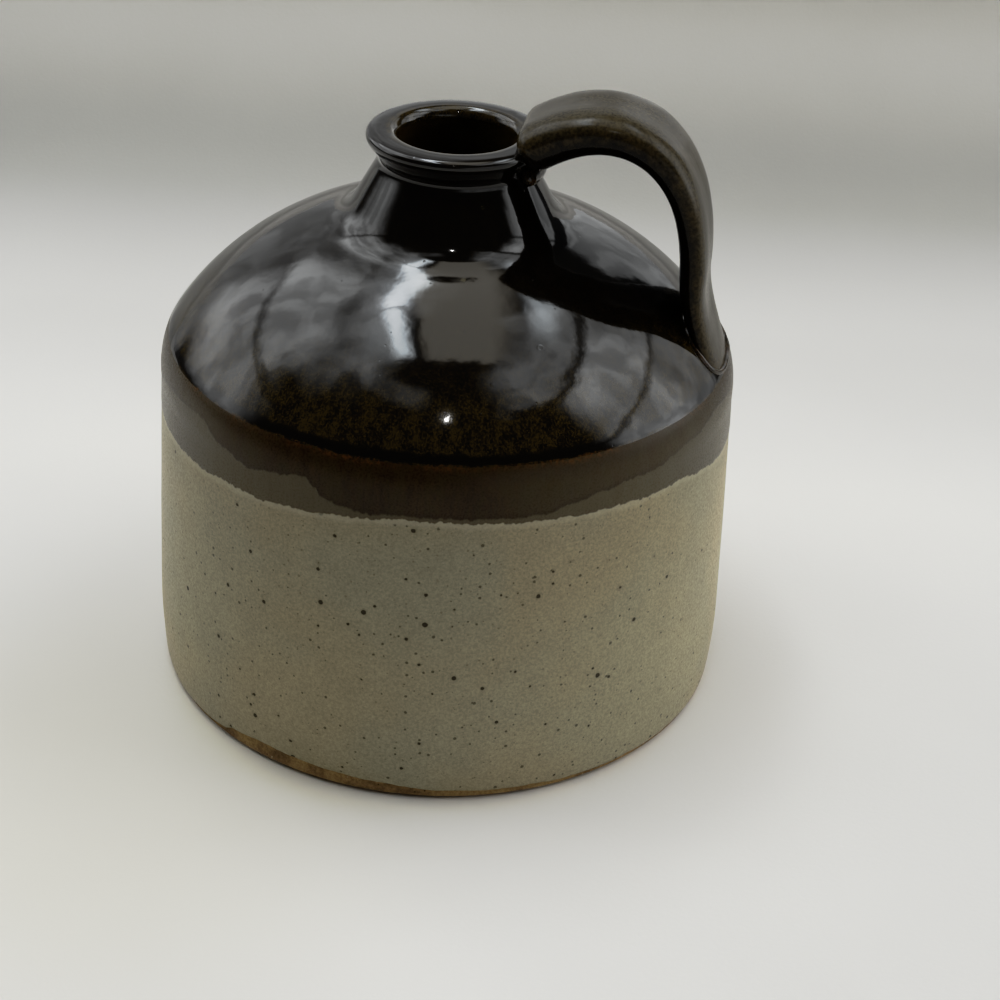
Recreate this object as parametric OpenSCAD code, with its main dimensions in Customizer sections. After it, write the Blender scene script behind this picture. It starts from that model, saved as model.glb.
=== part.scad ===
// Stoneware crock jug with a strap handle, thrown in clay and dipped in two glazes.
// The origin is the centre of the base, +Z is up and the handle stands over +X.
// The outline is turned about Z. Its radii are over the glaze unless a note says clay.

/* [Body] */
// Radius of the body at its widest, low on the wall
body_r = 63.2; // [58:0.1:72]
// Height of the widest place above the base
belly_z = 13; // [8:0.5:22]
// How far the wall has leaned in where the shoulder starts
wall_lean = 2.2; // [0.4:0.1:4]
// Height at which the shoulder starts to turn in
wall_top_z = 68.5; // [60:0.5:84]
// Thickness of the clay wall
wall_t = 5; // [3.5:0.1:6]
// Thickness of the clay floor
floor_t = 6; // [4:0.1:9]
// Inner radius where the wall meets the floor
floor_round_r = 7; // [3:0.5:10]

/* [Foot] */
// How far the clay foot above its bevel stands in from the widest place
foot_in = 0.9; // [0.2:0.1:3]
// Height of the bare clay left under the pale glaze
bare_foot_h = 2.6; // [1.6:0.1:5]
// Width and height of the bevel round the bottom edge
foot_bevel = 0.9; // [0.4:0.1:1.4]

/* [Shoulder] */
// How far the break between wall and dome stands in from the top of the wall
ridge_in = 1.8; // [1.2:0.1:2.6]
// Height from the top of the wall to the break
ridge_rise = 9.1; // [7:0.1:12]
// How far the turn from wall to break swells past a straight line
ridge_swell = 0.64; // [0.3:0.02:1]
// How far the top of the dome stands out from the foot of the neck
dome_top_out = 6.1; // [4:0.1:9]
// Rise of the dome for each millimetre that it comes in, from the break to its top
dome_pitch = 0.742; // [0.62:0.002:0.86]
// How far the dome swells past a straight line
dome_swell = 3.4; // [2:0.1:5]

/* [Neck and lip] */
// Radius of the throat that a cork fits
bore_r = 12; // [10:0.1:14]
// How far the groove under the lip stands out from the throat
groove_out = 3.8; // [3:0.1:5]
// How far the foot of the neck stands out from the groove
neck_flare = 5.1; // [3.6:0.1:6.6]
// Height of the hollow curve between dome and neck
neck_sweep_rise = 4.8; // [3.6:0.1:6]
// How far that curve dips under a straight line
neck_sweep_dip = 0.72; // [0.3:0.02:1.1]
// Height from the foot of the neck to the groove
neck_rise = 9.2; // [8:0.1:12]
// How far the lip's lower edge stands out from the groove
lip_out = 2.3; // [1.6:0.1:3.4]
// Height from the groove to the top of the lip
lip_h = 6.4; // [5:0.1:9]
// How far the lip's edge swells past its lower and upper corner
lip_swell = 0.9; // [0.4:0.1:1.3]
// Rounding from the top of the lip into the throat
mouth_round_r = 2.1; // [1:0.1:2.6]

/* [Glaze] */
// Thickness of the glaze on the outside
glaze_t = 0.45; // [0.25:0.05:0.8]
// Thickness of the glaze inside
liner_t = 0.45; // [0.25:0.05:0.8]
// Drop from the break to the lower edge of the brown dip
band_drop = 12.6; // [10:0.1:24]

/* [Handle] */
// How deep inside the groove's radius the strap's centre line starts, in the lip's clay
root_depth = 1.6; // [1:0.1:2]
// Height of that start above the groove under the lip
root_rise = 4.8; // [4.2:0.1:5.2]
// How far out from its start the strap is first pulled
root_pull = 17.8; // [14:0.1:20]
// Height over the lip that it is first pulled towards
crown_pull = 11.8; // [10:0.1:14]
// How far in from the break the centre line hangs down
drop_in = 8.5; // [7:0.1:10]
// Height of that place above the break
drop_rise = 20; // [18:0.1:23]
// How far above that place the strap is pulled straight
drop_pull = 28.2; // [24:0.1:32]
// How far the drop leans out on its way down that pull
drop_lean = 0.4; // [0:0.1:1.5]
// How far out from the break the centre line ends, inside the wall's clay
tail_out = 0.5; // [0:0.1:0.8]
// Drop of the tail's end below the break
tail_drop = 11; // [9:0.1:12]
// Width of the strap over its glaze
strap_w = 22.4; // [18:0.1:24]
// Width of the tail pressed to the shoulder
tail_w = 21.9; // [18:0.1:24]
// Thickness of the strap beside the lip
root_t = 10.8; // [9:0.1:11.4]
// Thickness of the strap in the drop
strap_t = 6.8; // [6:0.1:8.4]
// Thickness of the tail before its end
tail_t = 3; // [2.4:0.1:3.8]
// Thickness left at each end, buried in the clay
end_t = 1.2; // [0.8:0.1:1.6]
// Depth of the hollow down the outer face of the strap
strap_hollow = 0.7; // [0.2:0.05:0.9]
// Length over which the root rounds up out of the lip
root_round = 2.4; // [1.6:0.1:4]
// Length over which the tail rounds down into the wall
tail_round = 4; // [3:0.1:6]
// Radius of the wad of clay under the root, across its length
wad_r = 2.8; // [2.2:0.1:4]
// Length of the wad from side to side
wad_w = 15; // [12:0.5:18]
// How far out from the groove the wad's own axis lies
wad_out = 0; // [-0.8:0.1:1.2]
// Height of the wad above the groove
wad_rise = 0; // [-2:0.1:1]
// Width and height of the bead of slip round the tail
bead_w = 0.8; // [0.6:0.1:1.4]

/* [Hidden] */
$fn = 96;
fine_sides = 288;

// Radii of the outline, each from the one before it
foot_r = body_r - foot_in;
wall_top_r = body_r - wall_lean;
ridge_r = wall_top_r - ridge_in;
groove_r = bore_r + groove_out;
neck_foot_r = groove_r + neck_flare;
dome_top_r = neck_foot_r + dome_top_out;
lip_r = groove_r + lip_out;

// Heights of the outline
ridge_z = wall_top_z + ridge_rise;
band_z = ridge_z - band_drop;
dome_top_z = ridge_z + (ridge_r - dome_top_r) * dome_pitch;
neck_foot_z = dome_top_z + neck_sweep_rise;
groove_z = neck_foot_z + neck_rise;
lip_top_z = groove_z + lip_h;
throat_z = lip_top_z - mouth_round_r;

// How the wall leans in above the belly: 1 is straight and 2 is a full bow
wall_bow_share = 1.25;
// Height of the lip's lower edge and depth of the hollow under it, in the lip's height
lip_under_share = 0.62;
lip_hollow_share = 0.05;
// Radius of the lip's top corner, in the way from groove to lower edge
lip_shed_share = 0.52;
// Steps in each curve of the outline
wall_steps = 8;
turn_steps = 10;
dome_steps = 22;

// The point a share of the way from a to b
function mix(a, b, share) = a + (b - a) * share;
// A curve from a to b that swells out to the right of its way
function swell(a, b, rise, steps) =
    let (along = b - a, right = [along.y, -along.x] / norm(along))
    [for (i = [0 : steps]) let (share = i / steps)
        a + along * share + right * rise * 4 * share * (1 - share)];
function slice(points, first, last) = [for (i = [first : last]) points[i]];
function rest(points) = slice(points, 1, len(points) - 1);
function reversed(points) = [for (i = [len(points) - 1 : -1 : 0]) points[i]];
// The unit vector to the right of the way at point i
function right_at(points, i) =
    let (a = points[max(i - 1, 0)], b = points[min(i + 1, len(points) - 1)], along = b - a)
    [along.y, -along.x] / norm(along);
// The same outline set back into the clay
function inset(points, depth) = [for (i = [0 : len(points) - 1]) points[i] - right_at(points, i) * depth];

// Radius of the wall at a height
function wall_r_at(z) = z > belly_z
    ? mix(body_r, wall_top_r, pow((z - belly_z) / (wall_top_z - belly_z), wall_bow_share))
    : mix(body_r, foot_r, pow((belly_z - z) / belly_z, 2));
function wall_path(low_z, high_z, steps) =
    [for (i = [0 : steps]) let (z = mix(low_z, high_z, i / steps)) [wall_r_at(z), z]];

// Corners of the outline
wall_top = [wall_top_r, wall_top_z];
ridge = [ridge_r, ridge_z];
dome_top = [dome_top_r, dome_top_z];
neck_foot = [neck_foot_r, neck_foot_z];
groove = [groove_r, groove_z];
lip_under = [lip_r, groove_z + lip_h * lip_under_share];
lip_shed = [mix(groove_r, lip_r, lip_shed_share), lip_top_z];

// Stretches of the glazed outline, each starting where the one before it ends
shoulder_path = concat(
    rest(swell(wall_top, ridge, ridge_swell, turn_steps)),
    rest(swell(ridge, dome_top, dome_swell, dome_steps)));
neck_path = concat(rest(swell(dome_top, neck_foot, -neck_sweep_dip, turn_steps)), [groove]);
mouth_turn = [for (i = [0 : turn_steps]) let (a = 90 * i / turn_steps)
    [bore_r + mouth_round_r * (1 - sin(a)), lip_top_z - mouth_round_r * (1 - cos(a))]];
lip_path = concat(
    rest(swell(groove, lip_under, -lip_h * lip_hollow_share, turn_steps)),
    rest(swell(lip_under, lip_shed, lip_swell, turn_steps)),
    mouth_turn);
foot_wall_path = concat(
    wall_path(bare_foot_h, belly_z, turn_steps),
    rest(wall_path(belly_z, band_z, wall_steps)));
band_wall_path = rest(wall_path(band_z, wall_top_z, wall_steps));

// The whole glazed outline, the clay under it, and where its stretches end
glazed = concat(foot_wall_path, band_wall_path, shoulder_path, neck_path, lip_path);
clay = inset(glazed, glaze_t);
band_end = len(foot_wall_path) - 1;
ridge_end = band_end + len(band_wall_path) + turn_steps;
groove_end = band_end + len(band_wall_path) + len(shoulder_path) + len(neck_path);
mouth_end = len(glazed) - 1;

// The hollow: the outline from the floor's corner to the neck, set back through the wall
hollow_outline = concat(
    wall_path(floor_t + floor_round_r, wall_top_z, turn_steps), shoulder_path, neck_path);
hollow_ridge = turn_steps + turn_steps;
hollow_neck = len(hollow_outline) - 2;
// The foot of the throat, where the set-back neck reaches the radius of the throat
function throat_foot(depth, throat_r) =
    let (back = right_at([neck_foot, groove], 0) * depth, a = neck_foot - back, b = groove - back)
    mix(a, b, (a.x - throat_r) / (a.x - b.x));
// One layer of the hollow, from the throat down and along the floor to the axis
function hollow_corner(wall_side, floor_z) =
    let (round_r = wall_side.y - floor_z)
    [for (i = [1 : turn_steps]) let (a = 90 * i / turn_steps)
        [wall_side.x - round_r * (1 - cos(a)), wall_side.y - round_r * sin(a)]];
clay_hollow = inset(hollow_outline, glaze_t + wall_t);
lined_hollow = inset(hollow_outline, glaze_t + wall_t + liner_t);
clay_throat = throat_foot(glaze_t + wall_t, bore_r + liner_t);
lined_throat = throat_foot(glaze_t + wall_t + liner_t, bore_r);
// The clay of the throat beside the groove
seat_share = (throat_z - groove_z) / (throat_z - clay_throat.y);
groove_seat = mix([bore_r + glaze_t, throat_z], clay_throat, seat_share);

module turned(points, sides = $fn) rotate_extrude($fn = sides) polygon(points);

// How long the tail keeps straight, and how it lies out along the shoulder at its end
tail_pull_share = 0.36;
tail_lie_share = 0.04;
// Width left at each end, in the width of the strap
end_width_share = 0.66;
// Strap: two pulls of the centre line, in radius and height
root_r = groove_r - root_depth;
drop_r = ridge_r - drop_in;
tail_r = ridge_r + tail_out;
wad_reach = groove_r + wad_out;
crown_z = lip_top_z + crown_pull;
root = [root_r, groove_z + root_rise];
drop = [drop_r, ridge_z + drop_rise];
tail = [tail_r, ridge_z - tail_drop];
hang = [drop_lean, -drop_pull];
tail_fall = drop.y - tail.y;
crown_pulls = [root, [root_r + root_pull, crown_z], drop - hang, drop];
tail_pulls = [drop, drop + hang / norm(hang) * tail_fall * tail_pull_share,
    tail - [(tail.x - drop.x) * tail_lie_share, -tail_fall * tail_pull_share], tail];
// Stations of the strap, its sides, and how square its section is
crown_rings = 22;
tail_rings = 11;
round_rings = 5;
strap_sides = 24;
crown_power = 2.7;
tail_power = 2.1;

function pulled(p, t) = let (s = 1 - t)
    p[0] * s * s * s + p[1] * 3 * s * s * t + p[2] * 3 * s * t * t + p[3] * t * t * t;
function eased(t) = t * t * (3 - 2 * t);
// Where the rounding ends: a place from 0 at the root, over 1 at the drop, to 2 at the tail's end
root_place = root_round / norm(drop - root);
tail_place = 2 - tail_round / norm(tail - drop);
function strap_centre(u) = u < 1 ? pulled(crown_pulls, u) : pulled(tail_pulls, u - 1);
// Fullness of the section: 0 at each end and 1 between the roundings
function fullness(u) = u < root_place ? sqrt(1 - pow(1 - u / root_place, 2))
    : u > tail_place ? sqrt(max(0, 1 - pow((u - tail_place) / (2 - tail_place), 2))) : 1;
function full_depth(u) = u < 1 ? mix(root_t, strap_t, eased(u)) : mix(strap_t, tail_t, u - 1);
function strap_depth(u) = mix(end_t, full_depth(u), fullness(u));
// How far the section is bent round the shoulder: not at all in the drop and fully at the tail's end
function wrap(u) = eased(max(0, u - 1));
function strap_width(u) = (u < 1 ? strap_w : mix(strap_w, tail_w, eased(u - 1)))
    * mix(end_width_share, 1, fullness(u));
function squared(v, power) = sign(v) * pow(abs(v), 2 / power);
// One ring of the strap's skin, grown all round
function strap_ring(u, step, grown) =
    let (before = strap_centre(max(u - step, 0)), after = strap_centre(min(u + step, 2)),
        along = (after - before) / norm(after - before), out = [-along.y, along.x],
        centre = strap_centre(u), half_w = strap_width(u) / 2 + grown, half_t = strap_depth(u) / 2 + grown,
        power = mix(crown_power, tail_power, max(0, u - 1)))
    [for (k = [0 : strap_sides - 1])
        let (a = 360 * k / strap_sides, across = squared(sin(a), power), flat = squared(cos(a), power),
            hollow = flat > 0 ? strap_hollow * fullness(u) * min(1, 2 - u) * pow(1 - across * across, 2) : 0,
            lift = half_t * flat - hollow - wrap(u) * pow(half_w * across, 2) / (2 * tail_r))
        [centre.x + out.x * lift, half_w * across, centre.y + out.y * lift]];
strap_places = concat(
    [for (i = [0 : round_rings]) root_place * (1 - cos(90 * i / round_rings))],
    [for (i = [1 : crown_rings]) mix(root_place, 1, i / crown_rings)],
    [for (i = [1 : tail_rings]) mix(1, tail_place, i / tail_rings)],
    [for (i = [1 : round_rings]) mix(tail_place, 2, sin(90 * i / round_rings))]);

module strap(grown) {
    rings = [for (u = strap_places) strap_ring(u, root_place / crown_rings, grown)];
    last = len(rings) - 1;
    side_faces = [for (i = [0 : last - 1], k = [0 : strap_sides - 1])
        let (a = i * strap_sides + k, b = i * strap_sides + (k + 1) % strap_sides)
        each [[a, b, a + strap_sides], [b, b + strap_sides, a + strap_sides]]];
    root_face = [for (k = [strap_sides - 1 : -1 : 0]) k];
    tail_face = [for (k = [0 : strap_sides - 1]) last * strap_sides + k];
    polyhedron([for (ring = rings) each ring], concat(side_faces, [root_face, tail_face]));
}

module lower_body() color([0.72, 0.58, 0.42]) difference() {
    turned(concat(
        [[0, 0], [foot_r - foot_bevel, 0], [foot_r, foot_bevel]],
        slice(clay, 0, ridge_end),
        reversed(slice(clay_hollow, 0, hollow_ridge)),
        hollow_corner(clay_hollow[0], floor_t),
        [[0, floor_t]]));
    strap(0);
}

module shoulder_dome() color([0.70, 0.56, 0.40]) difference() {
    turned(concat(
        slice(clay, ridge_end, groove_end),
        [groove_seat, clay_throat],
        reversed(slice(clay_hollow, hollow_ridge, hollow_neck))));
    strap(0);
}

module rolled_lip() color([0.68, 0.54, 0.38]) difference() {
    turned(concat(
        slice(clay, groove_end, mouth_end),
        [groove_seat]));
    strap(0);
}

module strap_handle() color([0.16, 0.12, 0.08]) strap(0);

// Everything inside a turned outline, with the hollow filled
module filled(points) turned(concat(
    [[0, 0], [foot_r - foot_bevel, 0], [foot_r, foot_bevel]], points, [[0, points[len(points) - 1].y]]));

// Clay pressed under the root, in the corner between strap and neck
module upper_wad() color([0.20, 0.15, 0.10]) difference() {
    translate([wad_reach, 0, groove_z + wad_rise]) rotate([90, 0, 0]) turned(concat(
        [[0, -wad_w / 2]],
        [for (i = [1 : turn_steps - 1]) let (a = 180 * i / turn_steps) [wad_r * sin(a), -wad_w / 2 * cos(a)]],
        [[0, wad_w / 2]]));
    filled(glazed);
    strap(0);
}

// Slip smoothed round the tail: a layer on the glaze from the band's edge to the top of the dome
bead_end = ridge_end + dome_steps;
module tail_bead() color([0.24, 0.18, 0.12]) difference() {
    intersection() {
        turned(concat(
            slice(inset(glazed, -bead_w), band_end, bead_end),
            reversed(slice(glazed, band_end, bead_end))), fine_sides);
        strap(bead_w);
    }
    strap(0);
}

module ash_glaze() color([0.62, 0.62, 0.57]) turned(concat(
    slice(glazed, 0, band_end),
    reversed(slice(clay, 0, band_end))));

module brown_glaze() color([0.13, 0.09, 0.06]) difference() {
    turned(concat(
        slice(glazed, band_end, mouth_end),
        reversed(slice(clay, band_end, mouth_end))));
    strap(0);
}

module liner_glaze() color([0.24, 0.20, 0.16]) turned(concat(
    [[bore_r, throat_z], [bore_r + glaze_t, throat_z], clay_throat],
    reversed(slice(clay_hollow, 0, hollow_neck)),
    hollow_corner(clay_hollow[0], floor_t),
    [[0, floor_t], [0, floor_t + liner_t]],
    reversed(hollow_corner(lined_hollow[0], floor_t + liner_t)),
    slice(lined_hollow, 0, hollow_neck),
    [lined_throat]));

lower_body();
shoulder_dome();
rolled_lip();
strap_handle();
upper_wad();
tail_bead();
ash_glaze();
brown_glaze();
liner_glaze();
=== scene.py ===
"""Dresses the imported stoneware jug: two glaze coats, the strap, its joints, the bare clay and a pale studio."""

import math

import bmesh
import bpy
from bpy.props import FloatProperty, FloatVectorProperty, IntProperty, PointerProperty
from mathutils import Matrix, Vector, noise


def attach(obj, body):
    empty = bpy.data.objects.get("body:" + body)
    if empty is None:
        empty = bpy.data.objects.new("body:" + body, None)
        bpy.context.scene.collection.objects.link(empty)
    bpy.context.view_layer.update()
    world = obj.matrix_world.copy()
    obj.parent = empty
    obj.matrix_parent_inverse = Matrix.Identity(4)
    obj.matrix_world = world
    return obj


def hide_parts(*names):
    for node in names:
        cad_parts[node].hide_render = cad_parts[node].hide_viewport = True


bl_info = {
    "name": "Stoneware Jug Dresser",
    "version": (1, 0, 0),
    "blender": (4, 5, 0),
    "location": "3D View > Sidebar > Jug",
    "description": "Dresses the packed jug with glaze coats, a strap, its joints and a pale studio",
    "category": "Object",
}

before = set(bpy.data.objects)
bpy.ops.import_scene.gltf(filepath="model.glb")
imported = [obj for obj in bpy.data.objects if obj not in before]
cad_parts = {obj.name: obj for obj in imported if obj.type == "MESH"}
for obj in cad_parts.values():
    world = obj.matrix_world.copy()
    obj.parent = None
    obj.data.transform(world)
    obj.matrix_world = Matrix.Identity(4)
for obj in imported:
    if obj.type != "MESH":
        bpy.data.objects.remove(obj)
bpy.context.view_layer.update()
MM = 0.001
# Most bumps are built from heights in tenths of a millimetre
TENTH = 0.0001
# The wall's two glazes are satin, so they share a weaker shine than the glossy dome
WALL_SHINE = 0.2
GLOSSY_IOR = 1.50


# ------------ Sizes and colours that a user would change


def length(name, description, value):
    """A length in millimetres that the sidebar shows in the scene's own unit."""
    return FloatProperty(name=name, description=description, default=value * MM, unit="LENGTH", precision=5)


def colour(name, description, value):
    return FloatVectorProperty(
        name=name, description=description, default=value, subtype="COLOR", size=3, min=0.0, max=1.0
    )


def share(name, description, value, top=1.0):
    return FloatProperty(name=name, description=description, default=value, min=0.0, max=top, subtype="FACTOR")


def degrees(name, description, value):
    """An angle in degrees."""
    return FloatProperty(name=name, description=description, default=math.radians(value), unit="ROTATION")


class JugShape(bpy.types.PropertyGroup):
    """The outline of the glazed jug, from its foot to its mouth."""

    body_r: length("Body radius", "Radius of the body at its widest", 63.2)
    belly_z: length("Belly height", "Height of the widest place", 13)
    foot_r: length("Foot radius", "Radius of the clay foot above its bevel", 62.3)
    bare_foot_h: length("Bare foot", "Height of the bare clay under the pale glaze", 2.6)
    wall_top_r: length("Wall top radius", "Radius where the shoulder starts to turn in", 61)
    wall_top_z: length("Wall top height", "Height where the shoulder starts to turn in", 68.5)
    ridge_r: length("Ridge radius", "Radius of the break between wall and dome", 59.2)
    ridge_z: length("Ridge height", "Height of the break between wall and dome", 77.6)
    ridge_swell: length("Turn swell", "How far the turn to the ridge swells past a straight line", 0.64)
    dome_top_r: length("Dome top radius", "Radius where the dome hands over to the neck", 27)
    dome_top_z: length("Dome top height", "Height of the top of the dome", 101.49)
    dome_swell: length("Dome swell", "How far the dome swells past a straight line", 3.4)
    neck_foot_r: length("Neck foot radius", "Radius of the foot of the neck", 20.9)
    neck_foot_z: length("Neck foot height", "Height of the foot of the neck", 106.29)
    neck_dip: length("Neck sweep dip", "How far the sweep into the neck dips under a straight line", 0.72)
    groove_r: length("Groove radius", "Radius of the groove under the lip", 15.8)
    groove_z: length("Groove height", "Height of the groove under the lip", 115.49)
    lip_r: length("Lip radius", "Radius of the lip's lower edge", 18.1)
    lip_h: length("Lip height", "Height from the groove to the top of the lip", 6.4)
    lip_swell: length("Lip swell", "How far the lip's edge swells", 0.9)
    bore_r: length("Throat radius", "Radius of the throat", 12)
    mouth_round: length("Mouth rounding", "Rounding from the top of the lip into the throat", 2.1)


class StrapShape(bpy.types.PropertyGroup):
    """The pulled strap, from its root in the lip to its tail on the shoulder."""

    root_r: length("Root radius", "Radius at which the centre line starts", 14.2)
    root_rise: length("Root rise", "Height of the start above the groove", 4.8)
    root_pull: length("Root pull", "How far out the strap is first pulled", 17.8)
    crown_pull: length("Crown pull", "Height over the lip that it is pulled towards", 11.8)
    drop_r: length("Drop radius", "Radius where the strap hangs down", 50.7)
    drop_rise: length("Drop rise", "Height of that place above the ridge", 20)
    drop_pull: length("Drop pull", "How far above that place it is pulled straight", 28.2)
    drop_lean: length("Drop lean", "How far it leans out on its way down", 0.4)
    tail_r: length("Tail radius", "Radius of the centre line at the end of the tail", 59.7)
    tail_drop: length("Tail drop", "Drop of the tail's end below the ridge", 11)
    strap_w: length("Strap width", "Width of the strap", 22.4)
    tail_w: length("Tail width", "Width of the tail", 21.9)
    root_t: length("Root thickness", "Thickness beside the lip", 10.8)
    strap_t: length("Strap thickness", "Thickness in the drop", 6.8)
    tail_t: length("Tail thickness", "Thickness of the tail", 3)
    end_t: length("End thickness", "Thickness left at each end, buried in clay", 1.2)
    hollow: length("Hollow", "Depth of the hollow down the outer face", 0.7)
    root_round: length("Root rounding", "Length over which the root rounds up", 2.4)
    tail_round: length("Tail rounding", "Length over which the tail rounds down", 4)
    bead_r: length("Bead radius", "Radius of the bead of slip round the tail", 0.62)


class GlazeLook(bpy.types.PropertyGroup):
    """Colours of clay and glaze, and the size of what marks them."""

    pale: colour("Pale glaze", "Main tone of the pale glaze", (0.318, 0.275, 0.172))
    pale_cool: colour("Pale glaze, cool", "Tone of its greener drifts", (0.298, 0.272, 0.182))
    pale_milk: colour("Milky edge", "Tone of the pale line under the dark dip", (0.46, 0.425, 0.315))
    iron: colour("Iron specks", "Tone of the specks that burn through", (0.022, 0.016, 0.009))
    dark: colour("Dark glaze", "Tone of the dark glaze where it lies thick", (0.0050, 0.0036, 0.0024))
    olive: colour("Olive mottle", "Tone of the mottling low on the dome", (0.034, 0.0235, 0.0070))
    band: colour("Brown band", "Tone of the dip on the wall", (0.0185, 0.0092, 0.0020))
    band_light: colour("Band streaks", "Tone of the streaks that run down the band", (0.058, 0.036, 0.0135))
    band_olive: colour("Band's olive", "Tone of the olive drifts in the band", (0.034, 0.0245, 0.0065))
    fringe: colour("Grey fringe", "Tone where the two glazes mix thinly", (0.094, 0.080, 0.049))
    rust: colour("Rust break", "Tone where the glaze breaks thin over an edge", (0.120, 0.052, 0.017))
    clay: colour("Bare clay", "Main tone of the bare foot", (0.325, 0.215, 0.100))
    clay_dark: colour("Toasted clay", "Tone of its toasted patches", (0.155, 0.100, 0.050))
    grit: colour("Pale grit", "Tone of the grit in the clay", (0.62, 0.52, 0.34))
    # The strap's back tone is partly worn glaze and partly a painted sheen
    strap_back_sheen: colour("Strap's back", "Tone of the strap's worn outer face", (0.078, 0.064, 0.038))
    strap_break: colour("Strap's edges", "Tone where the glaze is thin on them", (0.056, 0.041, 0.020))
    fleck: colour("Olive flecks", "Tone of the few pale flecks low on the dome", (0.21, 0.18, 0.075))
    ring_wave: length("Throwing rings", "Height of the rings left by throwing", 0.05)
    sides: IntProperty(name="Turned sides", description="Steps round a coat", default=480, min=96, max=720)


class StudioLook(bpy.types.PropertyGroup):
    """The floor, the card behind the jug, the lights and the camera."""

    floor: colour("Paper", "Tone of the floor and the card", (0.805, 0.782, 0.742))
    # Painted shadow in front of the jug's left side, and painted light at its right side
    floor_shade: colour("Floor's shade", "Floor's tone in front of the jug's left side", (0.715, 0.684, 0.598))
    floor_painted_light: colour("Floor's clear side", "The same at its right side", (0.930, 0.905, 0.860))
    card_glow: colour("Card's glow", "Light that the card's upper part gives the jug", (0.28, 0.275, 0.265))
    overhead: share("Overhead", "Brightness of the overhead panels", 1.0, 10.0)
    sides: share("Sides", "Brightness of the soft light from all sides", 1.0, 10.0)
    room: share("Room", "Brightness of the room between those lights", 0.06, 4.0)
    beyond: share("Beyond", "Tone that is seen past the paper's edge", 0.72, 4.0)
    lens: FloatProperty(name="Lens", description="Focal length of the camera", default=70.98, unit="CAMERA")
    pitch: degrees("Pitch", "How far the camera looks down", 31.29)
    heading: degrees("Heading", "Heading of the camera from +Y", -8.082)
    roll: degrees("Roll", "Roll of the camera", 3.127)


# ------------ Courses round the jug: pairs of an angle (degrees, 0 over +X) and a value

# Height (mm) of the dark dip's lower edge
DIP_EDGE = [
    (-180, 62.9), (-160, 62.5), (-144.7, 62.3), (-133.5, 62.3), (-124.8, 63.2), (-115, 63.4), (-106.6, 64.3),
    (-99.1, 65.2), (-92.2, 66.0), (-85.3, 66.5), (-79.2, 66.4), (-73.2, 66.1), (-60.6, 65.9), (-49.9, 65.7),
    (-41.2, 65.1), (-30.6, 65.0), (-22.1, 63.6), (-14.7, 61.8), (-9.5, 61.4), (8, 60.9), (35, 61.6), (62, 62.9),
    (85, 64.2), (112, 63.4), (140, 64.1), (162, 63.2),
]
# Height (mm) at which the brown of the dip gives way to its grey fringe
FRINGE_EDGE = [
    (-180, 68.8), (-158, 70.5), (-145, 72.8), (-133.1, 73.6), (-125.8, 70.6), (-119, 69.0), (-111.8, 70.6),
    (-106.2, 71.8), (-103.7, 70.0), (-102.3, 68.0), (-98.8, 67.3), (-95, 66.9), (-90, 67.0), (-85.3, 67.3),
    (-73, 67.1), (-60.8, 67.2), (-57, 68.6), (-50.5, 69.7), (-43.9, 70.4), (-36.2, 70.8), (-26.9, 72.3),
    (-14.9, 74.2), (5, 72.0), (30, 69.4), (55, 67.2), (80, 66.4), (104, 67.5), (128, 70.2), (152, 69.6),
]
# Height (mm) of the pale coat's lower edge over the bare foot
FOOT_EDGE = [
    (-180, 2.2), (-160, 1.8), (-146, 1.6), (-131, 1.7), (-126, 2.3), (-123, 3.6), (-116, 4.4), (-108, 4.3),
    (-100, 3.9), (-92, 3.5), (-84, 3.0), (-79, 2.5), (-66, 2.2), (-45, 1.9), (-20, 1.6), (10, 2.1), (40, 2.9),
    (75, 2.3), (110, 2.7), (145, 2.2),
]
# How thick the brown of the dip lies, from 0 to 1
BROWN_DEPTH = [
    (-180, 0.5), (-150, 0.30), (-134, 0.35), (-122, 0.85), (-110, 1.0), (-75, 0.95), (-60, 0.62), (-45, 0.42),
    (-20, 0.35), (10, 0.6), (45, 0.9), (80, 0.6), (115, 0.85), (150, 0.6),
]


def eased(t):
    return t * t * (3 - 2 * t)


def mix(a, b, t):
    return a + (b - a) * t


def clamp(value, low=0.0, high=1.0):
    return max(low, min(high, value))


def degrees_round(co):
    return math.degrees(math.atan2(co.y, co.x))


def round_the_jug(marks, angle):
    """The value at an angle in degrees, eased from mark to mark and closed at the back."""
    angle = (angle + 180) % 360 - 180
    closed = marks + [(marks[0][0] + 360, marks[0][1])]
    for (a, low), (b, high) in zip(closed, closed[1:]):
        if a <= angle <= b:
            return mix(low, high, eased((angle - a) / (b - a)))
    return marks[0][1]


# ------------ The outline, as points of radius and height


def swell(a, b, rise, steps):
    """Points from a to b, both included, that swell out to the right of the way."""
    along = b - a
    right = Vector((along.y, -along.x)).normalized()
    return [a + along * t + right * (rise * 4 * t * (1 - t)) for t in (i / steps for i in range(steps + 1))]


def wall_radius(shape, z):
    if z > shape.belly_z:
        up = (z - shape.belly_z) / (shape.wall_top_z - shape.belly_z)
        return mix(shape.body_r, shape.wall_top_r, up ** 1.25)
    return mix(shape.body_r, shape.foot_r, ((shape.belly_z - z) / shape.belly_z) ** 2)


def wall_points(shape, low, high, step):
    steps = max(1, round((high - low) / step))
    heights = [mix(low, high, i / steps) for i in range(steps + 1)]
    return [Vector((wall_radius(shape, z), z)) for z in heights]


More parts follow.
